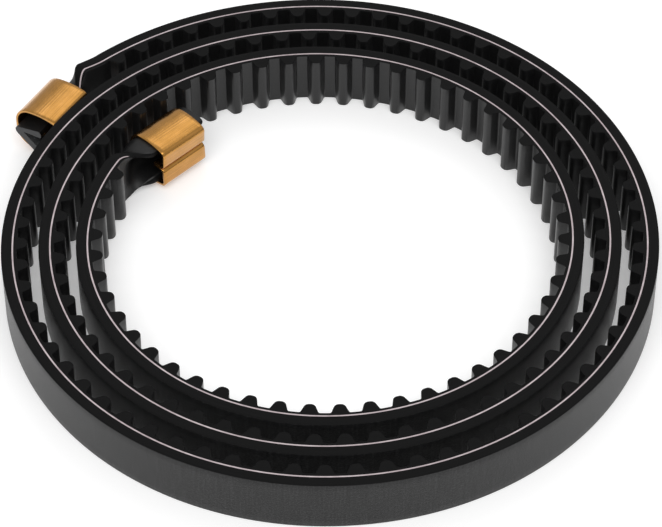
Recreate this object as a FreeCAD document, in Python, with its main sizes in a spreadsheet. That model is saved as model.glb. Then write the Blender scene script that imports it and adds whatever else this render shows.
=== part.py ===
import FreeCAD, Part
import math
import os

from FreeCAD import Placement, Rotation, Vector

# An open-ended timing belt wound flat into a coil, standing on its cut edge.
#
# The belt follows its cord line: quarter arcs, tangent to each other, whose centres step
# round a small square, so the radius grows by a quarter of the turn spacing each time.
# Lengths along the belt ("stations") are measured on the cord line, in millimetres, from
# the +X side of the innermost full turn, and grow anticlockwise seen from above.
# Offsets are measured from the cord line, positive towards the smooth back.
# Heights are along Z, from the lower cut edge at 0 to the upper one at the belt width.

SIZES = [
    ("tooth_pitch", 3.0, "spacing of the teeth along the cord line"),
    ("belt_width", 6.0, "height of the belt between its two cut edges"),
    ("back_thickness", 1.15, "cord line to the smooth back"),
    ("land_depth", 0.38, "cord line to the surface between two teeth"),
    ("tip_depth", 1.48, "cord line to the tip of a tooth"),
    ("facing_thickness", 0.12, "nylon fabric over the tooth side"),
    ("flank_angle", 20.8, "lean of a tooth flank, in degrees"),
    ("flank_half_width", 0.76, "half width of a tooth at its flank_depth"),
    ("flank_depth", 0.75, "depth where flank_half_width is measured"),
    ("root_fillet", 0.20, "fillet between land and flank, on the fabric"),
    ("tip_round", 0.55, "rounding of the tooth tip, on the fabric"),
    ("cord_diameter", 0.28, "one glass-fibre tension cord"),
    ("cord_spacing", 0.60, "cord to cord across the belt"),
    ("cord_groove", 0.34, "square groove round a cord in the backing"),
    ("turn_spacing", 3.736, "cord line to cord line, turn to turn"),
    ("first_radius", 25.714, "radius of the quarter arc that starts at station 0"),
    ("coil_x", -0.896, "centre of the coil"),
    ("coil_y", -0.934, "centre of the coil"),
    ("first_station", -86.978, "inner end of the toothed length, mid-land"),
    ("tooth_count", 176, "teeth on the belt"),
    ("link_teeth", 4, "teeth between two flex lines of a tail"),
    ("outer_links", 5, "flexing links at the outer end"),
    ("inner_links", 3, "flexing links at the inner end"),
    ("inner_end_teeth", 3, "teeth of the inner link that carries the clip"),
    ("flex_gap", 0.12, "gap at a flex line, on the cord line"),
    ("outer_flex_angle", 21.0, "V cut in the back at an outer flex line, in degrees"),
    ("inner_flex_angle", 42.0, "V cut in the tooth side at an inner flex line, in degrees"),
    ("clip_length", 5.8, "crimped clip along the belt"),
    ("clip_sheet", 0.28, "thickness of the clip's sheet"),
    ("clip_back", 2.46, "clip's middle to the middle of its sheet, on the back"),
    ("stub_length", 0.7, "belt that stands out of the clip's far end"),
    ("inner_clip_x", -16.054, "inner clip's centre from the coil's centre"),
    ("inner_clip_y", 15.469, "inner clip's centre from the coil's centre"),
    ("inner_clip_heading", 45.0, "way the inner end points, in degrees from +X"),
    ("outer_clip_x", -28.32, "outer clip's centre from the coil's centre"),
    ("outer_clip_y", 19.84, "outer clip's centre from the coil's centre"),
    ("outer_clip_heading", 238.5, "way the outer end points, in degrees from +X"),
]

# Half of the clip's section, from mid-height on the back over the top to the seam: what
# each run is, its length or bend radius, and the degrees it turns through.
CLIP_RUNS = [
    ("line", 0.55, 0),
    ("bend", 1.90, 80),
    ("bend", 7.00, 25),
    ("bend", 0.50, 78),
    ("line", 1.19, 0),
    ("bend", 0.45, 87),
    ("line", 0.95, 0),
]

# Upper corners of the folded belt's V section: (towards the tooth side, up from mid-width).
FOLDED_CORNERS = [(-2.20, 0.35), (0.75, 2.02), (1.12, 1.24), (-1.10, 0.12)]

SPAN_NAMES = ["coil_inner_turn", "coil_middle_turn", "coil_outer_turn"]
LOWEST_QUARTER = -8                     # before the belt's inner end
NUDGE = 1e-6                            # keeps a station off the end of its arc
GROOVE_OVERRUN = 0.5                    # how far a groove cut runs past its stretch
OUTER_TURNS = 630                       # degrees the belt turns before its outer end
INNER_TURNS = -270

doc = FreeCAD.newDocument("timing_belt")
sheet = doc.addObject("Spreadsheet::Sheet", "Sizes")
for row, (alias, number, meaning) in enumerate(SIZES, start=1):
    sheet.set("A%d" % row, alias)
    sheet.set("B%d" % row, str(number))
    sheet.set("C%d" % row, meaning)
    sheet.setAlias("B%d" % row, alias)
doc.recompute()

PITCH = sheet.tooth_pitch
WIDTH = sheet.belt_width
BACK = sheet.back_thickness
LAND = -sheet.land_depth
FABRIC = sheet.facing_thickness
CORD = sheet.cord_diameter
GROOVE = sheet.cord_groove
SPLIT = -GROOVE / 2                     # offset where the backing meets the tooth layer
QUARTER_STEP = sheet.turn_spacing / 4
TOOTH_COUNT = int(sheet.tooth_count)
LINK_TEETH = int(sheet.link_teeth)
OUTER_LINKS = int(sheet.outer_links)
INNER_LINKS = int(sheet.inner_links)
INNER_END_TEETH = int(sheet.inner_end_teeth)
CORD_COUNT = int(round(WIDTH / sheet.cord_spacing)) + 1

parts = []                              # every sub-part, in the order it is made


# ---------------------------------------------------------------- the coiled cord line

def arc_radius(quarter):
    return sheet.first_radius + quarter * QUARTER_STEP


def arc_centre(quarter):
    """Centre of a quarter arc: a corner of the small square round the coil's centre."""
    side = QUARTER_STEP / 2
    corners = [(-side, side), (-side, -side), (side, -side), (side, side)]
    x, y = corners[quarter % 4]
    return Vector(sheet.coil_x + x, sheet.coil_y + y, 0)


def quarter_start(quarter):
    """Station where a quarter arc begins."""
    if quarter >= 0:
        radii = [arc_radius(i) for i in range(quarter)]
        return sum(radii) * math.pi / 2
    radii = [arc_radius(i) for i in range(quarter, 0)]
    return -sum(radii) * math.pi / 2


def quarter_of(station):
    quarter = LOWEST_QUARTER
    while quarter_start(quarter + 1) <= station:
        quarter += 1
    return quarter


def arc_angle(quarter, station):
    """Angle, in radians, of the outward normal at a station on a quarter arc."""
    turned = (station - quarter_start(quarter)) / arc_radius(quarter)
    return quarter * math.pi / 2 + turned


def heading_out(station):
    return arc_angle(quarter_of(station), station)


def belt_point(station, offset, height=0.0):
    quarter = quarter_of(station)
    angle = heading_out(station)
    reach = arc_radius(quarter) + offset
    out = Vector(math.cos(angle), math.sin(angle), 0)
    return arc_centre(quarter) + out * reach + Vector(0, 0, height)


def belt_arcs(start, end, offset, height=0.0):
    """Arcs along the belt from one station to a later one, at one offset."""
    stops = [start]
    for quarter in range(quarter_of(start) + 1, quarter_of(end) + 1):
        if start + NUDGE < quarter_start(quarter) < end - NUDGE:
            stops.append(quarter_start(quarter))
    stops.append(end)
    arcs = []
    for first, last in zip(stops, stops[1:]):
        quarter = quarter_of((first + last) / 2)
        centre = arc_centre(quarter) + Vector(0, 0, height)
        circle = Part.Circle(centre, Vector(0, 0, 1), arc_radius(quarter) + offset)
        angles = [arc_angle(quarter, station) for station in (first, last)]
        arcs.append(Part.ArcOfCircle(circle, angles[0], angles[1]))
    return arcs


# ---------------------------------------------------------------- tooth profile

def tooth_points(inset):
    """One half of a tooth, as (along, depth) points, land side first.

    inset is how far the wanted surface lies under the outside of the fabric.
    """
    lean = math.radians(sheet.flank_angle)
    land = sheet.land_depth - inset
    tip = sheet.tip_depth - inset
    root_radius = sheet.root_fillet + inset
    tip_radius = sheet.tip_round - inset

    def flank(depth):
        rise = (depth - sheet.flank_depth) * math.tan(lean)
        return sheet.flank_half_width - rise - inset / math.cos(lean)

    def between(centre, radius, first, last):
        """Middle point of the arc between two unit directions."""
        middle = Vector(first) + Vector(last)
        middle.normalize()
        return centre + middle * radius

    to_flank = Vector(math.cos(lean), math.sin(lean), 0)
    deeper = Vector(0, 1, 0)
    root_depth = land + root_radius
    root_centre = Vector(flank(root_depth) + root_radius / math.cos(lean), root_depth, 0)
    tip_centre_depth = tip - tip_radius
    tip_x = flank(tip_centre_depth) - tip_radius / math.cos(lean)
    tip_centre = Vector(tip_x, tip_centre_depth, 0)
    return [
        root_centre - deeper * root_radius,
        between(root_centre, root_radius, -deeper, -to_flank),
        root_centre - to_flank * root_radius,
        tip_centre + to_flank * tip_radius,
        between(tip_centre, tip_radius, to_flank, deeper),
        tip_centre + deeper * tip_radius,
    ]


def tooth_station(index):
    return sheet.first_station + (index + 0.5) * PITCH


def tooth_edges(index, inset):
    """Curves round one tooth, in order of growing station, and its two foot stations."""
    middle = tooth_station(index)
    half = tooth_points(inset)
    before = [belt_point(middle - p.x, -p.y) for p in half]
    after = [belt_point(middle + p.x, -p.y) for p in reversed(half)]
    curves = [
        Part.Arc(before[0], before[1], before[2]),
        Part.LineSegment(before[2], before[3]),
        Part.Arc(before[3], before[4], before[5]),
        Part.LineSegment(before[5], after[0]),
        Part.Arc(after[0], after[1], after[2]),
        Part.LineSegment(after[2], after[3]),
        Part.Arc(after[3], after[4], after[5]),
    ]
    return curves, middle - half[0].x, middle + half[0].x


def toothed_line(first_tooth, last_tooth, inset, start, end):
    """Lands and teeth from the start station to the end station."""
    offset = LAND + inset
    curves = []
    reached = start
    for index in range(first_tooth, last_tooth + 1):
        tooth, foot_before, foot_after = tooth_edges(index, inset)
        curves += belt_arcs(reached, foot_before, offset)
        curves += tooth
        reached = foot_after
    return curves + belt_arcs(reached, end, offset)


# ---------------------------------------------------------------- stretches of belt

class Stretch:
    """A stretch of toothed belt between two mid-land stations.

    back_slope and tooth_slope open the cut at an end towards the back or the teeth, so
    that the next stretch can turn about the cord line; flexes says which ends turn.
    """

    def __init__(self, name, first_tooth, teeth, flexes, back_slope=0.0, tooth_slope=0.0):
        self.name = name
        self.first_tooth = first_tooth
        self.last_tooth = first_tooth + teeth - 1
        self.start = tooth_station(first_tooth) - PITCH / 2
        self.end = tooth_station(self.last_tooth) + PITCH / 2
        self.flexes = flexes
        self.back_slope = back_slope
        self.tooth_slope = tooth_slope

    def cut(self, flexing, offset):
        """How far an end stands back from its flex line."""
        if not flexing:
            return 0.0
        slope = self.back_slope if offset > 0 else self.tooth_slope
        return sheet.flex_gap / 2 + abs(offset) * slope

    def start_at(self, offset):
        return self.start + self.cut(self.flexes[0], offset)

    def end_at(self, offset):
        return self.end - self.cut(self.flexes[1], offset)


def joined_outline(one_side, other_side):
    """Close two rows of curves, both in order of growing station, with straight ends."""
    start_line = Part.LineSegment(one_side[0].StartPoint, other_side[0].StartPoint)
    end_line = Part.LineSegment(one_side[-1].EndPoint, other_side[-1].EndPoint)
    return one_side + other_side + [start_line, end_line]


def new_body(name):
    body = doc.addObject("PartDesign::Body", name)
    body.Label = name
    parts.append(body)
    return body


def origin_plane(body, role):
    return [feature for feature in body.Origin.OriginFeatures if feature.Role == role][0]


def new_sketch(body, name, curves, role="XY_Plane", offset=None):
    sketch = body.newObject("Sketcher::SketchObject", name)
    sketch.AttachmentSupport = (origin_plane(body, role), "")
    sketch.MapMode = "FlatFace"
    if offset is not None:
        sketch.AttachmentOffset = offset
    sketch.addGeometry(curves, False)
    return sketch


def new_pad(body, sketch, name, length):
    pad = body.newObject("PartDesign::Pad", name)
    pad.Profile = sketch
    pad.setExpression("Length", length)
    body.Tip = pad
    return pad


def make_backing(stretch):
    """Rubber backing, with a groove in its inner face for every tension cord."""
    body = new_body(stretch.name + "_backing")
    inner = belt_arcs(stretch.start_at(SPLIT), stretch.end_at(SPLIT), SPLIT)
    outer = belt_arcs(stretch.start_at(BACK), stretch.end_at(BACK), BACK)
    if stretch.back_slope > 0 and any(stretch.flexes):
        outline = backing_outline_with_v(stretch, inner, outer)
    else:
        outline = joined_outline(inner, outer)
    band = new_sketch(body, stretch.name + "_band", outline)
    new_pad(body, band, stretch.name + "_band_pad", "Sizes.belt_width")

    depth = GROOVE / 2
    before = stretch.start - GROOVE_OVERRUN
    after = stretch.end + GROOVE_OVERRUN
    groove_outline = joined_outline(belt_arcs(before, after, SPLIT - depth),
                                    belt_arcs(before, after, depth))
    low = Placement(Vector(0, 0, -GROOVE / 2), Rotation())
    groove = new_sketch(body, stretch.name + "_groove", groove_outline, offset=low)
    pocket = body.newObject("PartDesign::Pocket", stretch.name + "_groove_cut")
    pocket.Profile = groove
    pocket.setExpression("Length", "Sizes.cord_groove")
    pocket.Reversed = True
    body.Tip = pocket
    pattern = body.newObject("PartDesign::LinearPattern", stretch.name + "_grooves")
    pattern.Originals = [pocket]
    pattern.Direction = (groove, ["N_Axis"])
    pattern.setExpression("Length", "Sizes.belt_width")
    pattern.Occurrences = CORD_COUNT
    body.Tip = pattern
    return body


def backing_outline_with_v(stretch, inner, outer):
    """Ends that run square to the cord line first and then lean back in a V."""
    start_knee = belt_point(stretch.start_at(0), 0)
    end_knee = belt_point(stretch.end_at(0), 0)
    lines = [
        Part.LineSegment(inner[0].StartPoint, start_knee),
        Part.LineSegment(start_knee, outer[0].StartPoint),
        Part.LineSegment(inner[-1].EndPoint, end_knee),
        Part.LineSegment(end_knee, outer[-1].EndPoint),
    ]
    return inner + outer + lines


def make_outline_extrusion(name, outline):
    """A long toothed outline raised to the belt's width."""
    face = doc.addObject("Part::Feature", name + "_outline")
    face.Shape = Part.Face(Part.Wire(Part.__sortEdges__([c.toShape() for c in outline])))
    raised = doc.addObject("Part::Extrusion", name)
    raised.Label = name
    raised.Base = face
    raised.DirMode = "Custom"
    raised.Dir = Vector(0, 0, 1)
    raised.Solid = True
    raised.setExpression("LengthFwd", "Sizes.belt_width")
    parts.append(raised)
    return raised


def make_toothed(stretch, name, outline):
    """Short outlines are sketched and padded, long ones are raised from one face."""
    if stretch.last_tooth - stretch.first_tooth < 2 * LINK_TEETH:
        body = new_body(name)
        sketch = new_sketch(body, name + "_profile", outline)
        new_pad(body, sketch, name + "_pad", "Sizes.belt_width")
        return body
    return make_outline_extrusion(name, outline)


def make_teeth(stretch):
    """Rubber tooth layer, from the cord plane to the underside of the fabric."""
    offset = LAND + FABRIC
    back = belt_arcs(stretch.start_at(SPLIT), stretch.end_at(SPLIT), SPLIT)
    front = toothed_line(stretch.first_tooth, stretch.last_tooth, FABRIC,
                         stretch.start_at(offset), stretch.end_at(offset))
    return make_toothed(stretch, stretch.name + "_teeth", joined_outline(back, front))


def make_facing(stretch):
    """Nylon fabric that covers the lands and the teeth."""
    under = LAND + FABRIC
    back = toothed_line(stretch.first_tooth, stretch.last_tooth, FABRIC,
                        stretch.start_at(under), stretch.end_at(under))
    front = toothed_line(stretch.first_tooth, stretch.last_tooth, 0.0,
                         stretch.start_at(LAND), stretch.end_at(LAND))
    return make_toothed(stretch, stretch.name + "_facing", joined_outline(back, front))


def half_disc(centre, along, side):
    """The half of a cord's section that lies above (+1) or below (-1) its middle."""
    radius = CORD / 2
    across = Vector(0, 0, 1).cross(along).normalize() * radius
    pole = Vector(0, 0, side * radius)
    arc = Part.Arc(centre + across, centre + pole, centre - across)
    chord = Part.LineSegment(centre - across, centre + across)
    return Part.Face(Part.Wire([arc.toShape(), chord.toShape()]))


def make_cords(stretch):
    """Glass-fibre cords; the two at the slit edges are cut in half lengthwise."""
    start = stretch.start_at(0)
    end = stretch.end_at(0)
    path = Part.Wire([arc.toShape() for arc in belt_arcs(start, end, 0)])
    along = belt_point(start + NUDGE, 0) - belt_point(start, 0)
    upper = path.makePipe(half_disc(belt_point(start, 0), along, 1))
    lower = path.makePipe(half_disc(belt_point(start, 0), along, -1))
    full = upper.fuse(lower)
    cords = [upper]
    for index in range(1, CORD_COUNT - 1):
        cords.append(full.translated(Vector(0, 0, index * sheet.cord_spacing)))
    cords.append(lower.translated(Vector(0, 0, WIDTH)))
    group = doc.addObject("Part::Feature", stretch.name + "_cords")
    group.Label = stretch.name + "_cords"
    group.Shape = Part.makeCompound(cords)
    parts.append(group)
    return group


# ---------------------------------------------------------------- curled ends and clips
#
# Each end is built in the clip's own frame: X along the belt towards its free end, Y
# towards the tooth side, Z up from mid-width, with its origin at the clip's middle.

def turned_right(vector, angle):
    """A flat vector turned clockwise."""
    return Vector(vector.x * math.cos(angle) + vector.y * math.sin(angle),
                  vector.y * math.cos(angle) - vector.x * math.sin(angle), 0)


def curve_through(points):
    if len(points) == 2:
        return Part.LineSegment(points[0], points[1])
    return Part.Arc(points[0], points[1], points[2])


def clip_outline(towards_teeth):
    """Sheet of even thickness bent round the folded belt, its two edges curled inwards.

    The upper half follows CLIP_RUNS; the lower half is its mirror image.
    """
    half = sheet.clip_sheet / 2
    outlines = []                       # each is the points of one line or arc
    spot = Vector(-sheet.clip_back, 0, 0)
    heading = math.pi / 2
    for kind, size, degrees in CLIP_RUNS:
        right = Vector(math.sin(heading), -math.cos(heading), 0)
        if kind == "line":
            landing = spot + Vector(math.cos(heading), math.sin(heading), 0) * size
            for side in (half, -half):
                outlines.append([spot + right * side, landing + right * side])
            spot = landing
        else:
            centre = spot + right * size
            sweep = math.radians(degrees)
            ways = [-turned_right(right, sweep * share) for share in (0.0, 0.5, 1.0)]
            for radius in (size - half, size + half):
                outlines.append([centre + way * radius for way in ways])
            spot = centre + ways[-1] * size
            heading -= sweep
    right = Vector(math.sin(heading), -math.cos(heading), 0)
    outlines.append([spot + right * half, spot - right * half])
    curves = []
    for mirror in (1, -1):
        for points in outlines:
            curves.append(curve_through(
                [Vector(towards_teeth * p.x, mirror * p.y, 0) for p in points]))
    return curves


def section_curves(top_corners, towards_teeth):
    """A closed section that is the same above and below mid-width."""
    bottom_corners = [(x, -y) for x, y in reversed(top_corners)]
    corners = [Vector(towards_teeth * x, y, 0) for x, y in top_corners + bottom_corners]
    return [Part.LineSegment(a, b) for a, b in zip(corners, corners[1:] + corners[:1])]


def flat_corners():
    """Upper corners of the unfolded belt, one for each corner of the folded one."""
    half = WIDTH / 2
    fold = half / 3
    return [(-BACK, fold), (-BACK, half), (-LAND, half), (-LAND, fold)]


def make_end(name, clip_centre, heading, belt_station, belt_heading):
    """The folded end of the belt and the clip that is crimped round it."""
    middle = WIDTH / 2
    place = Placement(clip_centre + Vector(0, 0, middle),
                      Rotation(Vector(0, 0, 1), heading))
    towards_teeth = 1 if name == "outer" else -1
    mouth = Placement(Vector(0, 0, -sheet.clip_length / 2), Rotation())
    belt_end = place.inverse().multVec(belt_point(belt_station, 0, middle))
    belt_cut = Placement(Vector(belt_end.y, 0, belt_end.x),
                         Rotation(Vector(0, 1, 0), belt_heading - heading))

    strip = new_body(name + "_curled_end")
    strip.Placement = place
    folded = section_curves(FOLDED_CORNERS, towards_teeth)
    fold = new_sketch(strip, name + "_fold", folded, "YZ_Plane", mouth)
    new_pad(strip, fold, name + "_fold_pad", "Sizes.clip_length + Sizes.stub_length")
    opening = new_sketch(strip, name + "_unfold_start", folded, "YZ_Plane", mouth)
    flat = section_curves(flat_corners(), towards_teeth)
    opened = new_sketch(strip, name + "_unfold_end", flat, "YZ_Plane", belt_cut)
    loft = strip.newObject("PartDesign::AdditiveLoft", name + "_unfold")
    loft.Profile = opening
    loft.Sections = [opened]
    loft.Ruled = True
    strip.Tip = loft

    clip = new_body(name + "_clip")
    clip.Placement = place
    outline = clip_outline(towards_teeth)
    crimp = new_sketch(clip, name + "_clip_sheet", outline, "YZ_Plane", mouth)
    new_pad(clip, crimp, name + "_clip_pad", "Sizes.clip_length")


# ---------------------------------------------------------------- the whole belt

def lay_out_stretches():
    """Inner tail, still coil and outer tail, from the inner end outwards."""
    back_slope = math.tan(math.radians(sheet.outer_flex_angle / 2))
    tooth_slope = math.tan(math.radians(sheet.inner_flex_angle / 2))
    stretches = []
    tooth = 0
    for number in range(INNER_LINKS, 0, -1):
        flexes = (number != INNER_LINKS, True)
        name = "inner_link_%d" % number
        teeth = INNER_END_TEETH if number == INNER_LINKS else LINK_TEETH
        stretches.append(Stretch(name, tooth, teeth, flexes, 0.0, tooth_slope))
        tooth += teeth
    still = TOOTH_COUNT - tooth - OUTER_LINKS * LINK_TEETH
    spans = len(SPAN_NAMES)
    for number, name in enumerate(SPAN_NAMES):
        teeth = still // spans + (1 if number < still % spans else 0)
        flexes = (number == 0, number == spans - 1)
        span = Stretch(name, tooth, teeth, flexes)
        if flexes[0]:
            span.tooth_slope = tooth_slope
        if flexes[1]:
            span.back_slope = back_slope
        stretches.append(span)
        tooth += teeth
    for number in range(1, OUTER_LINKS + 1):
        flexes = (True, number != OUTER_LINKS)
        name = "outer_link_%d" % number
        stretches.append(Stretch(name, tooth, LINK_TEETH, flexes, back_slope, 0.0))
        tooth += LINK_TEETH
    return stretches


stretches = lay_out_stretches()
for stretch in stretches:
    make_backing(stretch)
    make_teeth(stretch)
    make_facing(stretch)
    make_cords(stretch)

coil_centre = Vector(sheet.coil_x, sheet.coil_y, 0)
inner_end = stretches[0].start
outer_end = stretches[-1].end
make_end("inner", coil_centre + Vector(sheet.inner_clip_x, sheet.inner_clip_y, 0),
         sheet.inner_clip_heading, inner_end,
         math.degrees(heading_out(inner_end)) - INNER_TURNS)
make_end("outer", coil_centre + Vector(sheet.outer_clip_x, sheet.outer_clip_y, 0),
         sheet.outer_clip_heading, outer_end,
         math.degrees(heading_out(outer_end)) - OUTER_TURNS)

doc.recompute()

# ---------------------------------------------------------------- checks and files

for item in doc.Objects:
    if "Invalid" in item.State or "Error" in item.State:
        raise RuntimeError("failed: %s %s" % (item.Name, item.State))
for item in parts:
    shape = item.Shape
    if shape.isNull() or not shape.isValid() or shape.Volume <= 0:
        raise RuntimeError("bad shape: " + item.Label)

os.makedirs("parts", exist_ok=True)
for item in parts:
    item.Shape.exportStep("parts/%s.step" % item.Label)
    print("%-28s solids %2d  volume %9.3f mm3" % (
        item.Label, len(item.Shape.Solids), item.Shape.Volume))

cord_length = stretches[0].end_at(0) - stretches[0].start_at(0)
cord_section = math.pi * (CORD / 2) ** 2 * (CORD_COUNT - 1)
print("cord check: section x length %.3f mm3" % (cord_section * cord_length))
print("flex lines:")
for before, after in zip(stretches, stretches[1:]):
    if before.flexes[1]:
        spot = belt_point(before.end, 0)
        print("  %s to %s at x %.4f y %.4f" % (before.name, after.name, spot.x, spot.y))
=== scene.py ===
import math

import bpy
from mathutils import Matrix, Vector


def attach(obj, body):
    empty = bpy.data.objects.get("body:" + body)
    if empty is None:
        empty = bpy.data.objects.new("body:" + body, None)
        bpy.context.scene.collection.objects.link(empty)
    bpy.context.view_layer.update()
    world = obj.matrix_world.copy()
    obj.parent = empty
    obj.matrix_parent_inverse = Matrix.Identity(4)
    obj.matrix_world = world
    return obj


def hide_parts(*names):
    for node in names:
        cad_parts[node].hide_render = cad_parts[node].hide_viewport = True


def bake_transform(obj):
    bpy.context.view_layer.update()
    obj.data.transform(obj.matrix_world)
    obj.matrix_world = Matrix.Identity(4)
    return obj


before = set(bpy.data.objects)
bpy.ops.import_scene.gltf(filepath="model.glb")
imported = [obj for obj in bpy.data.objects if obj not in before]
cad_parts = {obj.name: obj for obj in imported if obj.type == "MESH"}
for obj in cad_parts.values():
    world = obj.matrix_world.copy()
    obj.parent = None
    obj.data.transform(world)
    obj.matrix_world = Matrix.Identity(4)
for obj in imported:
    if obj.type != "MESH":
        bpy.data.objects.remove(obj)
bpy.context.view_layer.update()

# Looks of an open-ended timing belt wound flat into a coil, with a crimped brass clip on
# each folded end. Lengths here are in millimetres and become metres when a mesh is made.
#
# Stations are measured along the cord line, offsets from it (positive to the smooth back),
# heights from the lower cut edge, as in the CAD model.

MM = 0.001

# ---- belt sizes
PITCH = 3.0
WIDTH = 6.0
BACK = 1.15
LAND = 0.38
TIP = 1.48
FABRIC = 0.12
FLANK_ANGLE = 20.8
FLANK_HALF = 0.76
FLANK_DEPTH = 0.75
ROOT_FILLET = 0.20
TIP_ROUND = 0.55
CORD = 0.28
CORD_SPACING = 0.60
CORD_SEEN = 0.080                # half width of the cut cord on a belt edge
CORD_NOTCH = 0.07                # depth of the straight sides of the cut cord's slot
CORD_SLOT = 0.12                 # height of the slot's floor above the belt edge
EDGE_ROUND = 0.07
EDGE_POINTS = (0.42, 0.78)       # offsets of the points across the backing's cut edge

# ---- coil
FIRST_RADIUS = 25.714
QUARTER_STEP = 0.934
COIL_X = -0.896
COIL_Y = -0.934
FIRST_STATION = -86.978
TEETH = 176
LINK_TEETH = 4
INNER_LINKS = 3
INNER_END_TEETH = 3
OUTER_LINKS = 5
SPANS = ("coil_inner_turn", "coil_middle_turn", "coil_outer_turn")

# ---- clips
CLIP_LENGTH = 5.8
CLIP_SHEET = 0.28
CLIP_BACK = 2.46
STUB = 0.7
INNER_CLIP = (-16.054, 15.469, 45.0)
OUTER_CLIP = (-28.32, 19.84, 238.5)
PRESSED_LEG = 5.5                # reach of a pressed leg along the inside of the clip
PRESSED_BACK = 0.50              # pressed thickness each side of the cord line
PRESSED_FRONT = 0.36
PRESSED_GAP = 0.03               # between the rubber and the sheet
FOLD_STEPS = 18                  # points of a leg's section
FOLD_DONE = 0.96                 # share of the way to the clip where the fold is complete
PATH_STEPS = 36                  # rings between the last tooth and the clip
CLIP_STEPS = 10                  # rings inside the clip and in the stub
CLIP_ENTRY = -2.2                # first of those rings, from the clip's middle
CLIP_PULL = 0.9                  # how strongly the strip lines up with its clip
STUB_LEG = 3.5                   # leg length where the outer end leaves its clip
STUB_LEANS = (52.0, 78.0)        # lower and upper leg from upright, in degrees
STUB_RIDGE = 2.2                 # how far the ridge of the stub lies to the back
STUB_BEND = 0.8                  # length over which a leg of the stub bends over
STUB_CROTCH = 1.25               # from the ridge to where the legs part
CORD_DEPTH = 0.58                # where the cord line lies in a pressed leg's thickness
CORD_PROUD = 0.004
CLIP_RUNS = [
    ("line", 0.55, 0),
    ("bend", 1.90, 80),
    ("bend", 7.00, 25),
    ("bend", 0.50, 78),
    ("line", 1.19, 0),
    ("bend", 0.45, 87),
    ("line", 0.95, 0),
]


# ---------------------------------------------------------------- cord line

def arc_radius(quarter):
    return FIRST_RADIUS + quarter * QUARTER_STEP


def arc_centre(quarter):
    side = QUARTER_STEP / 2
    x, y = [(-side, side), (-side, -side), (side, -side), (side, side)][quarter % 4]
    return COIL_X + x, COIL_Y + y


def quarter_start(quarter):
    if quarter >= 0:
        return sum(arc_radius(i) for i in range(quarter)) * math.pi / 2
    return -sum(arc_radius(i) for i in range(quarter, 0)) * math.pi / 2


QUARTERS = [(quarter_start(q), q) for q in range(-8, 16)]


def out_angle(station):
    start, quarter = [pair for pair in QUARTERS if pair[0] <= station][-1]
    return quarter, quarter * math.pi / 2 + (station - start) / arc_radius(quarter)


def belt_point(station, offset, height):
    quarter, angle = out_angle(station)
    x, y = arc_centre(quarter)
    reach = arc_radius(quarter) + offset
    return Vector((x + reach * math.cos(angle), y + reach * math.sin(angle), height))


# ---------------------------------------------------------------- tooth profile

def half_tooth(inset):
    """(along, depth) points of half a tooth, from the land to the middle of the tip."""
    lean = math.radians(FLANK_ANGLE)
    land = LAND - inset
    tip = TIP - inset
    root = ROOT_FILLET + inset
    top = TIP_ROUND - inset

    def flank(depth):
        return FLANK_HALF - (depth - FLANK_DEPTH) * math.tan(lean) - inset / math.cos(lean)

    root_x = flank(land + root) + root / math.cos(lean)
    top_x = flank(tip - top) - top / math.cos(lean)
    points = [(root_x + 0.5 * (PITCH / 2 - root_x), land)]
    for step in range(5):
        angle = math.radians(-90) - step / 4 * (math.pi / 2 - lean)
        points.append((root_x + root * math.cos(angle), land + root + root * math.sin(angle)))
    for step in range(7):
        angle = lean + step / 6 * (math.pi / 2 - lean)
        points.append((top_x + top * math.cos(angle), tip - top + top * math.sin(angle)))
    points.append((0.0, tip))
    return points


HALF_OUTER = half_tooth(0.0)
HALF_UNDER = half_tooth(FABRIC)


def belt_rings(first_tooth, last_tooth):
    """One ring per profile point: (station, (fabric station, depth), (rubber station, depth))."""
    rings = []
    for tooth in range(first_tooth, last_tooth + 1):
        middle = FIRST_STATION + (tooth + 0.5) * PITCH
        start = middle - PITCH / 2
        rings.append((start, (start, LAND), (start, LAND - FABRIC)))
        pairs = list(zip(HALF_OUTER, HALF_UNDER))
        for outer, under in pairs:
            rings.append((middle - outer[0], (middle - outer[0], outer[1]),
                          (middle - under[0], under[1])))
        for outer, under in reversed(pairs[:-1]):
            rings.append((middle + outer[0], (middle + outer[0], outer[1]),
                          (middle + under[0], under[1])))
    end = FIRST_STATION + (last_tooth + 1) * PITCH
    rings.append((end, (end, LAND), (end, LAND - FABRIC)))
    return rings


# ---------------------------------------------------------------- mesh making

def make_object(name, verts, faces, uvs, face_slots, materials, sharp=40):
    """A mesh object; uvs is one (u, v) in millimetres for every face corner."""
    mesh = bpy.data.meshes.new(name)
    mesh.from_pydata([(x * MM, y * MM, z * MM) for x, y, z in verts], [], faces)
    layer = mesh.uv_layers.new(name="along")
    flat = [value for face in uvs for corner in face for value in corner]
    layer.data.foreach_set("uv", flat)
    for material in materials:
        mesh.materials.append(material)
    mesh.polygons.foreach_set("material_index", face_slots)
    mesh.validate()
    mesh.shade_smooth()
    mesh.set_sharp_from_angle(angle=math.radians(sharp))
    piece = bpy.data.objects.new(name, mesh)
    bpy.context.scene.collection.objects.link(piece)
    return piece


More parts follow.
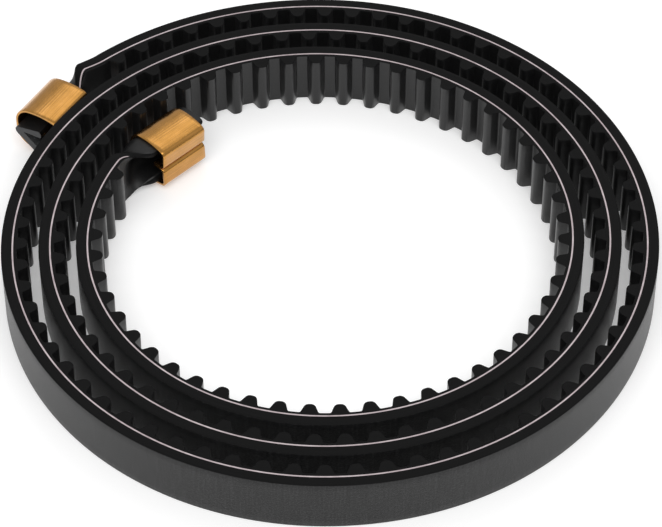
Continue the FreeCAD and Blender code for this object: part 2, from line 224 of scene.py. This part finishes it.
def loop_mesh(name, rings, materials, slot_of, sharp=40):
    """A closed tube through rings of (point, (u, v), ...) loops.

    rings is a list of (points, u, vs); vs has one more entry than points.
    slot_of gives the material of each side of the loop.
    """
    count = len(rings[0][0])
    verts = [p for points, _, _ in rings for p in points]
    faces, uvs, slots = [], [], []
    for r in range(len(rings) - 1):
        here, there = r * count, (r + 1) * count
        u0, u1 = rings[r][1], rings[r + 1][1]
        vs = rings[r][2]
        for i in range(count):
            j = (i + 1) % count
            faces.append((here + i, here + j, there + j, there + i))
            uvs.append(((u0, vs[i]), (u0, vs[i + 1]), (u1, vs[i + 1]), (u1, vs[i])))
            slots.append(slot_of[i])
    last = (len(rings) - 1) * count
    for cap in (tuple(reversed(range(count))), tuple(range(last, last + count))):
        faces.append(cap)
        uvs.append([(i * 0.1, 0.0) for i in range(count)])
        slots.append(slot_of[0])
    return make_object(name, verts, faces, uvs, slots, materials, sharp)


def loop_lengths(loop):
    """Running length round a closed loop of (offset, height) points."""
    lengths = [0.0]
    for (x0, y0), (x1, y1) in zip(loop, loop[1:] + loop[:1]):
        lengths.append(lengths[-1] + math.hypot(x1 - x0, y1 - y0))
    return lengths


# ---------------------------------------------------------------- materials

class Nodes:
    """A few short ways of making the shader nodes that the materials share."""

    def __init__(self, name, color, roughness, metallic=0.0):
        self.material = bpy.data.materials.new(name)
        self.material.use_nodes = True
        self.tree = self.material.node_tree
        self.shader = self.tree.nodes["Principled BSDF"]
        self.shader.inputs["Base Color"].default_value = (*color, 1.0)
        self.shader.inputs["Roughness"].default_value = roughness
        self.shader.inputs["Metallic"].default_value = metallic
        uv = self.tree.nodes.new("ShaderNodeUVMap")
        uv.uv_map = "along"
        self.uv = uv.outputs["UV"]

    def link(self, a, b):
        self.tree.links.new(a, b)

    def stretched(self, along, across):
        """The surface coordinate, in millimetres, scaled along and across the belt."""
        mapping = self.tree.nodes.new("ShaderNodeMapping")
        mapping.inputs["Scale"].default_value = (along, across, 1.0)
        self.link(self.uv, mapping.inputs["Vector"])
        return mapping.outputs["Vector"]

    def noise(self, vector, scale, detail=4.0, roughness=0.6):
        node = self.tree.nodes.new("ShaderNodeTexNoise")
        node.inputs["Scale"].default_value = scale
        node.inputs["Detail"].default_value = detail
        node.inputs["Roughness"].default_value = roughness
        self.link(vector, node.inputs["Vector"])
        return node.outputs["Fac"]

    def ramp(self, value, stops):
        node = self.tree.nodes.new("ShaderNodeValToRGB")
        band = node.color_ramp
        while len(band.elements) < len(stops):
            band.elements.new(0.5)
        for element, (position, color) in zip(band.elements, stops):
            element.position = position
            element.color = (*color, 1.0)
        self.link(value, node.inputs["Fac"])
        return node.outputs["Color"]

    def levels(self, value, low, high):
        node = self.tree.nodes.new("ShaderNodeMapRange")
        node.inputs["To Min"].default_value = low
        node.inputs["To Max"].default_value = high
        self.link(value, node.inputs["Value"])
        return node.outputs["Result"]

    def math(self, kind, a, b):
        node = self.tree.nodes.new("ShaderNodeMath")
        node.operation = kind
        for socket, value in zip(node.inputs, (a, b)):
            if isinstance(value, (int, float)):
                socket.default_value = value
            else:
                self.link(value, socket)
        return node.outputs[0]

    def color(self, socket):
        self.link(socket, self.shader.inputs["Base Color"])

    def rough(self, socket):
        self.link(socket, self.shader.inputs["Roughness"])

    def bump(self, height, strength, distance):
        node = self.tree.nodes.new("ShaderNodeBump")
        node.inputs["Strength"].default_value = strength
        node.inputs["Distance"].default_value = distance * MM
        self.link(height, node.inputs["Height"])
        self.link(node.outputs["Normal"], self.shader.inputs["Normal"])


def back_rubber():
    """Ground rubber back: fine grain, with faint score marks across the belt."""
    n = Nodes("ground_rubber_back", (0.005, 0.005, 0.0052), 0.45)
    grain = n.noise(n.stretched(1.0, 1.0), 5.0, 6.0, 0.7)
    scores = n.noise(n.stretched(6.0, 0.25), 1.0, 3.0, 0.6)
    mottle = n.math("ADD", n.math("MULTIPLY", grain, 0.7), n.math("MULTIPLY", scores, 0.3))
    n.color(n.ramp(mottle, [(0.38, (0.001, 0.001, 0.001)), (0.50, (0.007, 0.007, 0.0072)),
                            (0.62, (0.024, 0.024, 0.0245))]))
    n.rough(n.levels(mottle, 0.50, 0.24))
    n.bump(grain, 0.8, 0.06)
    n.shader.inputs["Specular IOR Level"].default_value = 0.34
    return n.material


def cut_rubber():
    """Slit belt edge: very dark, its colour darker than the back's as painted shade, with knife
    lines along the belt.
    """
    n = Nodes("slit_edge_rubber_painted_dark", (0.003, 0.003, 0.003), 0.62)
    knife = n.noise(n.stretched(0.25, 9.0), 1.0, 3.0, 0.55)
    grain = n.noise(n.stretched(1.0, 1.0), 7.0, 5.0, 0.7)
    mixed = n.math("ADD", n.math("MULTIPLY", knife, 0.5), n.math("MULTIPLY", grain, 0.5))
    # painted shade: the edge colour is set darker than the back rubber so the upturned cut edges
    # look shaded; the knife lines are real
    n.color(n.ramp(mixed, [(0.3, (0.0014, 0.0014, 0.0014)), (0.7, (0.0040, 0.0040, 0.0042))]))
    n.rough(n.levels(mixed, 0.70, 0.45))
    n.bump(mixed, 0.3, 0.02)
    n.shader.inputs["Specular IOR Level"].default_value = 0.12
    return n.material


def nylon_facing():
    """Fine dark nylon fabric: a tight weave with a slight sheen."""
    n = Nodes("nylon_facing", (0.006, 0.006, 0.0062), 0.5)
    warp = n.noise(n.stretched(9.0, 1.2), 1.0, 2.0, 0.5)
    weft = n.noise(n.stretched(1.2, 9.0), 1.0, 2.0, 0.5)
    weave = n.math("ADD", n.math("MULTIPLY", warp, 0.5), n.math("MULTIPLY", weft, 0.5))
    n.color(n.ramp(weave, [(0.35, (0.002, 0.002, 0.0021)), (0.65, (0.007, 0.007, 0.0073))]))
    n.rough(n.levels(weave, 0.45, 0.22))
    n.bump(weave, 0.4, 0.03)
    n.shader.inputs["Specular IOR Level"].default_value = 0.45
    n.shader.inputs["Sheen Weight"].default_value = 0.05
    n.shader.inputs["Sheen Roughness"].default_value = 0.4
    return n.material


def glass_cord():
    """Cut glass-fibre cord: pale strands that twist along the belt edge."""
    n = Nodes("glass_cord", (0.52, 0.44, 0.455), 0.55)
    strands = n.noise(n.stretched(1.6, 14.0), 1.0, 3.0, 0.6)
    patches = n.noise(n.stretched(0.5, 1.0), 1.0, 2.0, 0.5)
    mixed = n.math("ADD", n.math("MULTIPLY", strands, 0.6), n.math("MULTIPLY", patches, 0.4))
    n.color(n.ramp(mixed, [(0.30, (0.34, 0.27, 0.285)), (0.5, (0.52, 0.44, 0.455)),
                           (0.72, (0.72, 0.64, 0.655))]))
    n.bump(strands, 0.4, 0.02)
    n.shader.inputs["Specular IOR Level"].default_value = 0.3
    return n.material


def fold_rubber():
    """Rubber of the folded ends, smooth where it was pressed."""
    n = Nodes("folded_rubber", (0.005, 0.005, 0.0052), 0.45)
    grain = n.noise(n.stretched(1.0, 1.0), 4.0, 6.0, 0.7)
    n.color(n.ramp(grain, [(0.35, (0.003, 0.003, 0.0031)), (0.7, (0.009, 0.009, 0.0094))]))
    n.rough(n.levels(grain, 0.58, 0.38))
    n.bump(grain, 0.25, 0.03)
    n.shader.inputs["Specular IOR Level"].default_value = 0.4
    return n.material


def end_cut():
    """Freshly cut cross-section of the folded end: greyer and torn."""
    n = Nodes("cut_rubber_end", (0.03, 0.03, 0.031), 0.6)
    tear = n.noise(n.stretched(2.0, 2.0), 4.0, 6.0, 0.7)
    n.color(n.ramp(tear, [(0.3, (0.020, 0.020, 0.021)), (0.7, (0.048, 0.049, 0.051))]))
    n.bump(tear, 0.5, 0.04)
    return n.material


def brass():
    """Satin orange brass under a thin lacquer, with drawn lines along the crimp."""
    n = Nodes("crimped_brass", (0.50, 0.225, 0.030), 0.25, 1.0)
    lines = n.noise(n.stretched(0.12, 7.0), 1.0, 4.0, 0.65)
    patches = n.noise(n.stretched(0.5, 0.8), 1.0, 3.0, 0.5)
    mixed = n.math("ADD", n.math("MULTIPLY", lines, 0.65), n.math("MULTIPLY", patches, 0.35))
    n.color(n.ramp(mixed, [(0.32, (0.36, 0.165, 0.014)), (0.5, (0.50, 0.230, 0.030)),
                           (0.68, (0.64, 0.310, 0.070))]))
    n.rough(n.levels(mixed, 0.30, 0.18))
    n.bump(lines, 0.4, 0.02)
    n.shader.inputs["Coat Weight"].default_value = 0.8
    n.shader.inputs["Coat Roughness"].default_value = 0.25
    return n.material


MATERIALS = {
    "back": back_rubber(),
    "cut": cut_rubber(),
    "facing": nylon_facing(),
    "cord": glass_cord(),
    "fold": fold_rubber(),
    "end": end_cut(),
    "brass": brass(),
}


# ---------------------------------------------------------------- belt layers

def backing_loop():
    """(offset, height) loop of the backing and the material of each of its sides."""
    r = EDGE_ROUND
    near, far = EDGE_POINTS
    loop = [(CORD / 2, CORD_SLOT), (CORD_SEEN, CORD_NOTCH), (CORD_SEEN, 0.0), (near, 0.0),
            (far, 0.0), (BACK - r, 0.0), (BACK - 0.3 * r, 0.3 * r)]
    sides = [1, 1, 1, 1, 1, 1, 0]
    levels = 7
    for step in range(levels + 1):
        loop.append((BACK, r + (WIDTH - 2 * r) * step / levels))
        sides.append(0)
    loop += [(BACK - 0.3 * r, WIDTH - 0.3 * r), (BACK - r, WIDTH), (far, WIDTH),
             (near, WIDTH), (CORD_SEEN, WIDTH), (CORD_SEEN, WIDTH - CORD_NOTCH),
             (CORD / 2, WIDTH - CORD_SLOT)]
    sides += [1, 1, 1, 1, 1, 1, 1]
    return loop, sides


def make_backing(name, first, last):
    loop, sides = backing_loop()
    lengths = loop_lengths(loop)
    rings = []
    for station, _, _ in belt_rings(first, last):
        rings.append(([belt_point(station, o, h) for o, h in loop], station, lengths))
    return loop_mesh(name, rings, [MATERIALS["back"], MATERIALS["cut"]], sides)


def make_teeth(name, first, last):
    """Rubber tooth layer between the cords and the fabric."""
    rings = []
    shares = (0.0, 0.5, 1.0)
    for station, _, (under_station, under_depth) in belt_rings(first, last):
        points = []
        for height in (0.0, WIDTH):
            row = []
            for share in shares:
                at = station + (under_station - station) * share
                depth = CORD_SEEN + (under_depth - CORD_SEEN) * share
                row.append(belt_point(at, -depth, height))
            if height > 0:
                row.reverse()
            points += row
        points.append(belt_point(station, -CORD_SEEN, WIDTH - CORD_NOTCH))
        points.append(belt_point(station, -CORD / 2, WIDTH - CORD_SLOT))
        points.append(belt_point(station, -CORD / 2, CORD_SLOT))
        points.append(belt_point(station, -CORD_SEEN, CORD_NOTCH))
        points.reverse()
        lengths = [0, 0.1, 6.0, 6.1, 6.2, 6.9, 7.6, 13.6, 14.3, 15.0, 15.1]
        rings.append((points, station, lengths))
    return loop_mesh(name, rings, [MATERIALS["cut"]], [0] * 10)


def make_facing(name, first, last):
    """Fabric shell over lands and teeth, with its two cut edges."""
    rings = []
    r = 0.03
    levels = [r, 1.2, 2.4, 3.6, 4.8, WIDTH - r]
    for station, (out_station, out_depth), (in_station, in_depth) in belt_rings(first, last):
        points = [belt_point(in_station, -in_depth, 0.0),
                  belt_point(out_station, -out_depth + r, 0.0)]
        points += [belt_point(out_station, -out_depth, level) for level in levels]
        points += [belt_point(out_station, -out_depth + r, WIDTH),
                   belt_point(in_station, -in_depth, WIDTH)]
        points.reverse()
        lengths = [0, 0.1, 0.15, 1.3, 2.5, 3.7, 4.9, 5.95, 6.05, 6.15, 12.2]
        rings.append((points, station, lengths))
    sides = [1, 1, 0, 0, 0, 0, 0, 1, 1, 0]
    return loop_mesh(name, rings, [MATERIALS["facing"], MATERIALS["cut"]], sides)


def make_cords(name, first, last):
    """Nine round cords inside the belt and the two that the slitting knife has halved."""
    verts, faces, uvs = [], [], []

    def add_rod(loop, stations):
        lengths = loop_lengths(loop)
        base = len(verts)
        count = len(loop)
        for station in stations:
            verts.extend(belt_point(station, o, h) for o, h in loop)
        for r in range(len(stations) - 1):
            for i in range(count):
                j = (i + 1) % count
                a = base + r * count
                b = a + count
                faces.append((a + i, a + j, b + j, b + i))
                u0, u1 = stations[r], stations[r + 1]
                uvs.append(((u0, lengths[i]), (u0, lengths[i + 1]),
                            (u1, lengths[i + 1]), (u1, lengths[i])))
        end = base + (len(stations) - 1) * count
        for cap in (tuple(reversed(range(base, base + count))), tuple(range(end, end + count))):
            faces.append(cap)
            uvs.append([(0.1 * i, 0.0) for i in range(count)])

    fine = [ring[0] for ring in belt_rings(first, last)]
    coarse = fine[::5] if (len(fine) - 1) % 5 == 0 else fine[:-1:5] + [fine[-1]]
    low = 0.10
    edge = [(CORD_SEEN - 0.004, 0.0), (CORD_SEEN - 0.004, low), (0.0, CORD / 2),
            (0.004 - CORD_SEEN, low), (0.004 - CORD_SEEN, 0.0)]
    add_rod(edge[::-1], fine)
    add_rod([(o, WIDTH - h) for o, h in edge], fine)
    sides = 8
    for number in range(1, int(round(WIDTH / CORD_SPACING))):
        middle = number * CORD_SPACING
        rod = []
        for side in range(sides):
            angle = 2 * math.pi * side / sides
            rod.append((CORD / 2 * math.cos(angle), middle + CORD / 2 * math.sin(angle)))
        add_rod(rod[::-1], coarse)
    return make_object(name, verts, faces, uvs, [0] * len(faces), [MATERIALS["cord"]], 60)


LAYERS = [
    ("backing", make_backing, "back_rubber"),
    ("teeth", make_teeth, "tooth_rubber"),
    ("facing", make_facing, "nylon_facing"),
    ("cords", make_cords, "glass_cord"),
]


def tooth_start(tooth):
    return FIRST_STATION + tooth * PITCH


def make_length(name, first, last, bodies, stands_for):
    """Every layer of one length of belt, riding on one body, or baked in place unattached where
    it spans two.
    """
    for layer, make, slot in LAYERS:
        piece = make("%s_%s" % (name, layer), first, last)
        if len(bodies) == 1:
            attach(piece, bodies[0])
        else:
            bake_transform(piece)
        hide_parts(*["%s_%s" % (part, layer) for part in stands_for])


def make_belt():
    half = LINK_TEETH // 2
    inner_names = ["inner_link_%d" % n for n in range(1, INNER_LINKS + 1)]
    inner_bodies = ["coil"] + inner_names[:-1] + ["inner_end"]
    for number in range(1, INNER_LINKS + 1):
        line = INNER_END_TEETH + (INNER_LINKS - number) * LINK_TEETH
        make_length("inner_bend_%d" % number, line - half, line + half - 1,
                    (inner_bodies[number], inner_bodies[number - 1]), [inner_names[number - 1]])
    make_length("inner_tail", 0, INNER_END_TEETH - half - 1, ("inner_end",), [inner_names[-1]])

    outer_names = ["outer_link_%d" % n for n in range(1, OUTER_LINKS + 1)]
    outer_bodies = ["coil"] + outer_names[:-1] + ["outer_end"]
    for number in range(1, OUTER_LINKS + 1):
        line = TEETH - (OUTER_LINKS - number + 1) * LINK_TEETH
        make_length("outer_bend_%d" % number, line - half, line + half - 1,
                    (outer_bodies[number - 1], outer_bodies[number]), [outer_names[number - 1]])
    make_length("outer_tail", TEETH - half, TEETH - 1, ("outer_end",), [outer_names[-1]])

    first = INNER_END_TEETH + (INNER_LINKS - 1) * LINK_TEETH + half
    last = TEETH - OUTER_LINKS * LINK_TEETH - half - 1
    make_length("coil", first, last, ("coil",), SPANS)


# ---------------------------------------------------------------- ends

class EndFrame:
    """Where one clip sits: along is towards the free end, teeth towards the tooth side."""

    def __init__(self, clip, towards_teeth):
        x, y, heading = clip
        angle = math.radians(heading)
        self.centre = Vector((COIL_X + x, COIL_Y + y, WIDTH / 2))
        self.along = Vector((math.cos(angle), math.sin(angle), 0))
        self.teeth = towards_teeth * Vector((-math.sin(angle), math.cos(angle), 0))
        self.sign = towards_teeth

    def at(self, along, teeth, up):
        return self.centre + self.along * along + self.teeth * teeth + Vector((0, 0, up))


def clip_path():
    """Middle line of the upper half of the crimped sheet: (spot, normal) pairs."""
    spot = Vector((-CLIP_BACK, 0.0))
    heading = math.pi / 2
    path = []
    for kind, size, degrees in CLIP_RUNS:
        right = Vector((math.sin(heading), -math.cos(heading)))
        ahead = Vector((math.cos(heading), math.sin(heading)))
        if kind == "line":
            steps = 4
            for step in range(steps):
                path.append((spot + ahead * size * step / steps, -right))
            spot = spot + ahead * size
            continue
        centre = spot + right * size
        steps = max(6, int(degrees / 7))
        for step in range(steps):
            turn = heading - math.radians(degrees) * step / steps
            normal = Vector((-math.sin(turn), math.cos(turn)))
            path.append((centre + normal * size, normal))
        heading -= math.radians(degrees)
        spot = centre + Vector((-math.sin(heading), math.cos(heading))) * size
    normal = Vector((-math.sin(heading), math.cos(heading)))
    path.append((spot, normal))
    return path


def make_clip(name, where, body):
    upper = clip_path()
    lower = [(Vector((p.x, -p.y)), Vector((n.x, -n.y))) for p, n in upper[1:]]
    path = lower[::-1] + upper
    lengths = [0.0]
    for (a, _), (b, _) in zip(path, path[1:]):
        lengths.append(lengths[-1] + (b - a).length)
    whole = lengths[-1]
    half = CLIP_SHEET / 2
    soft = 0.05
    stops = [(0.0, 0.09), (0.014, 0.12), (soft, half)]
    rings = []
    for inset, thick in stops:
        rings.append((-CLIP_LENGTH / 2 + inset, thick))
    inside = 14
    for step in range(1, inside):
        rings.append((-CLIP_LENGTH / 2 + soft + (CLIP_LENGTH - 2 * soft) * step / inside, half))
    for inset, thick in reversed(stops):
        rings.append((CLIP_LENGTH / 2 - inset, thick))
    verts, faces, uvs = [], [], []
    count = len(path)
    for along, thick in rings:
        for side in (1, -1):
            for (spot, normal), run in zip(path, lengths):
                end = min(run, whole - run)
                rounding = thick if end > soft else thick * (0.72 + 0.28 * end / soft)
                p = spot + normal * rounding * side
                verts.append(where.at(along, p.x, p.y))
    flip = where.sign < 0

    def add(face, corner_uvs):
        faces.append(face[::-1] if flip else face)
        uvs.append(corner_uvs[::-1] if flip else corner_uvs)

    for r in range(len(rings) - 1):
        u0, u1 = rings[r][0], rings[r + 1][0]
        for side in (0, 1):
            a = (2 * r + side) * count
            b = (2 * r + 2 + side) * count
            for i in range(count - 1):
                face = (a + i, b + i, b + i + 1, a + i + 1)
                v0, v1 = lengths[i] + 20 * side, lengths[i + 1] + 20 * side
                corner = ((u0, v0), (u1, v0), (u1, v1), (u0, v1))
                if side == 0:
                    add(face[::-1], corner[::-1])
                else:
                    add(face, corner)
        for i in (0, count - 1):
            a, b = 2 * r * count + i, (2 * r + 1) * count + i
            c, d = (2 * r + 3) * count + i, (2 * r + 2) * count + i
            corner = ((u0, 0), (u0, 0.28), (u1, 0.28), (u1, 0))
            if i == 0:
                add((a, b, c, d), corner)
            else:
                add((d, c, b, a), corner[::-1])
    for r in (0, len(rings) - 1):
        for i in range(count - 1):
            a, b = 2 * r * count + i, 2 * r * count + i + 1
            c, d = (2 * r + 1) * count + i + 1, (2 * r + 1) * count + i
            corner = ((0, lengths[i]), (0, lengths[i + 1]), (0.28, lengths[i + 1]),
                      (0.28, lengths[i]))
            if r == 0:
                add((a, b, c, d), corner)
            else:
                add((d, c, b, a), corner[::-1])
    clip = make_object(name + "_crimp", verts, faces, uvs, [0] * len(faces),
                       [MATERIALS["brass"]], 50)
    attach(clip, body)
    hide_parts(name)


def smooth(share):
    share = min(1.0, max(0.0, share))
    return share * share * (3 - 2 * share)


def flat_rows():
    """Section of the unfolded strip, from the lower edge up: (back, cord line, teeth)."""
    rows = ([], [], [])
    for step in range(-FOLD_STEPS, FOLD_STEPS + 1):
        height = WIDTH / 2 * step / FOLD_STEPS
        for row, offset in zip(rows, (-BACK, 0.0, LAND)):
            row.append(Vector((offset, height)))
    return rows


def pressed_rows():
    """Section of the strip pressed against the inside of the clip."""
    path = clip_path()
    inside = [spot - normal * (CLIP_SHEET / 2 + PRESSED_GAP) for spot, normal in path]
    lengths = [0.0]
    for a, b in zip(inside, inside[1:]):
        lengths.append(lengths[-1] + (b - a).length)
    half = []
    for step in range(FOLD_STEPS + 1):
        reach = PRESSED_LEG * step / FOLD_STEPS
        index = max(i for i, length in enumerate(lengths[:-1]) if length <= reach)
        share = (reach - lengths[index]) / (lengths[index + 1] - lengths[index])
        spot = inside[index].lerp(inside[index + 1], share)
        normal = path[index][1].lerp(path[index + 1][1], share).normalized()
        half.append((spot, normal))
    rows = ([], [], [])
    depths = (0.0, PRESSED_BACK, PRESSED_BACK + PRESSED_FRONT)
    for sign, part in ((-1, half[:0:-1]), (1, half)):
        for spot, normal in part:
            for row, depth in zip(rows, depths):
                place_at = spot - normal * depth
                row.append(Vector((place_at.x, sign * place_at.y)))
    return rows


def vee_rows():
    """Section of the outer end, a loose V: the legs meet in a ridge on the back."""
    rows = ([], [], [])
    thick = PRESSED_BACK + PRESSED_FRONT
    for sign, lean in ((-1, STUB_LEANS[0]), (1, STUB_LEANS[1])):
        angle = math.radians(lean)
        ahead = Vector((math.sin(angle), math.cos(angle)))
        spot = Vector((-STUB_RIDGE, 0.0))
        part = []
        for step in range(FOLD_STEPS + 1):
            reach = STUB_LEG * step / FOLD_STEPS
            turned = angle * smooth(reach / STUB_BEND)
            if step:
                spot = spot + Vector((math.sin(turned), math.cos(turned))) * STUB_LEG / FOLD_STEPS
            normal = Vector((math.cos(turned), -math.sin(turned)))
            crotch = Vector((STUB_CROTCH - STUB_RIDGE, 0.0)) + ahead * max(0.0, reach - 0.7)
            inner = crotch.lerp(spot + normal * thick, smooth(reach / 1.6))
            part.append((spot.copy(), spot.lerp(inner, CORD_DEPTH), inner))
        if sign < 0:
            part = part[:0:-1]
        for spots in part:
            for row, place_at in zip(rows, spots):
                row.append(Vector((place_at.x, sign * place_at.y)))
    return rows


def mixed_rows(rows_a, rows_b, share):
    return [[a.lerp(b, share) for a, b in zip(row_a, row_b)]
            for row_a, row_b in zip(rows_a, rows_b)]


def fold_path(where, belt_station, towards, late):
    """Places along the folding strip: (point, direction of its teeth, fold)."""
    _, angle = out_angle(belt_station)
    out = Vector((math.cos(angle), math.sin(angle), 0))
    tangent = Vector((-math.sin(angle), math.cos(angle), 0)) * towards
    begin = belt_point(belt_station, 0, WIDTH / 2)
    mouth = where.at(-CLIP_LENGTH / 2, 0, 0)
    reach = (mouth - begin).length
    path = []
    for step in range(PATH_STEPS + 1):
        t = step / PATH_STEPS
        spot = (begin * (2 * t ** 3 - 3 * t ** 2 + 1)
                + tangent * reach * (t ** 3 - 2 * t ** 2 + t)
                + mouth * (3 * t ** 2 - 2 * t ** 3)
                + where.along * CLIP_PULL * reach * (t ** 3 - t ** 2))
        teeth = where.teeth * smooth(t) - out * (1 - smooth(t))
        path.append((spot, teeth.normalized(), smooth((t - late) / (FOLD_DONE - late))))
    return path


def make_folded_end(name, where, belt_station, towards, body, late, cord_until, pressed):
    """The toothless end of the belt, folding lengthwise on its way into the clip."""
    flat = flat_rows()
    stages = []
    for spot, teeth, fold in fold_path(where, belt_station, towards, late):
        stages.append((spot, teeth, mixed_rows(flat, pressed, fold)))
    edge_stages = int(cord_until * len(stages))
    for step in range(CLIP_STEPS):
        share = step / (CLIP_STEPS - 1)
        along = CLIP_ENTRY + (CLIP_LENGTH / 2 + STUB - CLIP_ENTRY) * share
        stages.append((where.at(along, 0, 0), where.teeth, pressed))

    rings, stripes = [], []
    run = 0.0
    before = stages[0][0]
    for spot, teeth, (back, cord, tooth_side) in stages:
        run += (spot - before).length
        before = spot
        thick = (back[-1] - tooth_side[-1]).length
        loop = round_row(back, tooth_side[::-1], 0.12 + 0.16 * smooth((1.4 - thick) / 0.5))
        points = [spot + teeth * p.x + Vector((0, 0, p.y)) for p in loop]
        count = len(points)
        edges = {0, count // 2 - 2, count // 2 - 1, count // 2, count - 2, count - 1}
        if where.sign > 0:
            points.reverse()
            edges = {(count - 2 - side) % count for side in edges}
        lengths = [0.0]
        for a, b in zip(points, points[1:] + points[:1]):
            lengths.append(lengths[-1] + (b - a).length)
        rings.append((points, run, lengths))
        left = edge_stages - len(stripes)
        if left > 0:
            pair = []
            proud = CORD_PROUD - 0.05 * smooth(1 - (left - 1) / 4)
            for end, inner in ((-1, -2), (0, 1)):
                edge = cord_stripe(back[end], cord[end], tooth_side[end], cord[inner], proud)
                pair.append([spot + teeth * p.x + Vector((0, 0, p.y)) for p in edge])
            stripes.append((run, pair))
    sides = [2 if side in edges else 0 for side in range(count)]
    piece = loop_mesh(name + "_fold", rings,
                      [MATERIALS["fold"], MATERIALS["end"], MATERIALS["cut"]], sides, 50)
    polygons = piece.data.polygons
    polygons[len(polygons) - 1].material_index = 1
    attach(piece, body)
    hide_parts(name + "_curled_end")
    for number, label in enumerate(("upper", "lower")):
        tube = []
        for run, pair in stripes:
            points = pair[number]
            if (where.sign > 0) == (number == 0):
                points = points[::-1]
            tube.append((points, run, [0.0, 0.05, 0.25, 0.3, 0.5]))
        cord = loop_mesh("%s_fold_cord_%s" % (name, label), tube, [MATERIALS["cord"]],
                         [0] * 4, 60)
        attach(cord, body)


def cord_stripe(back_corner, middle, tooth_corner, behind, proud):
    """Four points of the cut cord that shows on the strip's edge."""
    across = (tooth_corner - back_corner).normalized()
    rise = (middle - behind).normalized()
    wide = across * CORD_SEEN
    return [middle - wide - rise * 0.1, middle - wide + rise * proud,
            middle + wide + rise * proud, middle + wide - rise * 0.1]


def round_row(back_row, teeth_row, radius):
    """One loop through both rows with its four corners eased."""
    loop = []
    for row, other in ((back_row, teeth_row), (teeth_row, back_row)):
        first = row[0] + (row[1] - row[0]).normalized() * radius * 0.3
        last = row[-1] + (row[-2] - row[-1]).normalized() * radius * 0.3
        across_first = (other[-1] - row[0]).normalized() * radius
        across_last = (other[0] - row[-1]).normalized() * radius
        loop.append(row[0] + across_first)
        loop.append(first + across_first * 0.25)
        loop += [row[0] + (row[1] - row[0]).normalized() * radius]
        loop += row[1:-1]
        loop += [row[-1] + (row[-2] - row[-1]).normalized() * radius]
        loop.append(last + across_last * 0.25)
        loop.append(row[-1] + across_last)
    return loop


make_belt()

INNER = EndFrame(INNER_CLIP, -1)
OUTER = EndFrame(OUTER_CLIP, 1)
make_clip("inner_clip", INNER, "inner_end")
make_clip("outer_clip", OUTER, "outer_end")
make_folded_end("inner", INNER, tooth_start(0), -1, "inner_end", 0.10, 0.42, pressed_rows())
make_folded_end("outer", OUTER, tooth_start(TEETH), 1, "outer_end", 0.45, 0.9, vee_rows())


# ---------------------------------------------------------------- floor, light, camera

FLOOR_HALF = 4.0
FLOOR_DROP = 0.00002             # keeps the floor from touching the belt's lower edge
FLOOR_WHITE = 0.9
FLOOR_GLOW = 0.25
SKY_LEVEL = 0.6
LENS = 172.0
SENSOR = 36.0
CAMERA_PLACE = (0.000102, -0.22101, 0.23434)
CAMERA_TARGET = (0.000102, -0.005331, 0.006)


def make_floor():
    mesh = bpy.data.meshes.new("floor")
    size = FLOOR_HALF
    mesh.from_pydata([(-size, -size, 0), (size, -size, 0), (size, size, 0), (-size, size, 0)],
                     [], [(0, 1, 2, 3)])
    floor = bpy.data.objects.new("floor", mesh)
    floor.location.z = -FLOOR_DROP
    bpy.context.scene.collection.objects.link(floor)
    n = Nodes("floor_white", (FLOOR_WHITE,) * 3, 0.9)
    n.shader.inputs["Specular IOR Level"].default_value = 0.1
    n.shader.inputs["Emission Color"].default_value = (1.0, 1.0, 1.0, 1.0)
    n.shader.inputs["Emission Strength"].default_value = FLOOR_GLOW
    mesh.materials.append(n.material)


def aim(thing, target):
    direction = Vector(target) - thing.location
    thing.rotation_euler = direction.to_track_quat("-Z", "Y").to_euler()


def area_light(name, location, size, power):
    data = bpy.data.lights.new(name, "AREA")
    data.shape = "RECTANGLE"
    data.size, data.size_y = size
    data.energy = power
    lamp = bpy.data.objects.new(name, data)
    lamp.location = location
    aim(lamp, (0, 0, 0))
    bpy.context.scene.collection.objects.link(lamp)


make_floor()
area_light("softbox_back", (0.06, 0.36, 0.47), (0.42, 0.20), 0.27)
area_light("softbox_front", (0.0, -0.45, 0.75), (0.9, 0.5), 4.0)

world = bpy.data.worlds.new("soft_studio")
world.use_nodes = True
backdrop = world.node_tree.nodes["Background"]
backdrop.inputs["Color"].default_value = (1.0, 1.0, 1.0, 1.0)
backdrop.inputs["Strength"].default_value = SKY_LEVEL
bpy.context.scene.world = world
bpy.context.scene.view_settings.view_transform = "Standard"

camera_data = bpy.data.cameras.new("camera")
camera_data.lens = LENS
camera_data.sensor_width = SENSOR
camera_data.clip_start = 0.01
camera = bpy.data.objects.new("camera", camera_data)
camera.location = CAMERA_PLACE
aim(camera, CAMERA_TARGET)
bpy.context.scene.collection.objects.link(camera)
bpy.context.scene.camera = camera
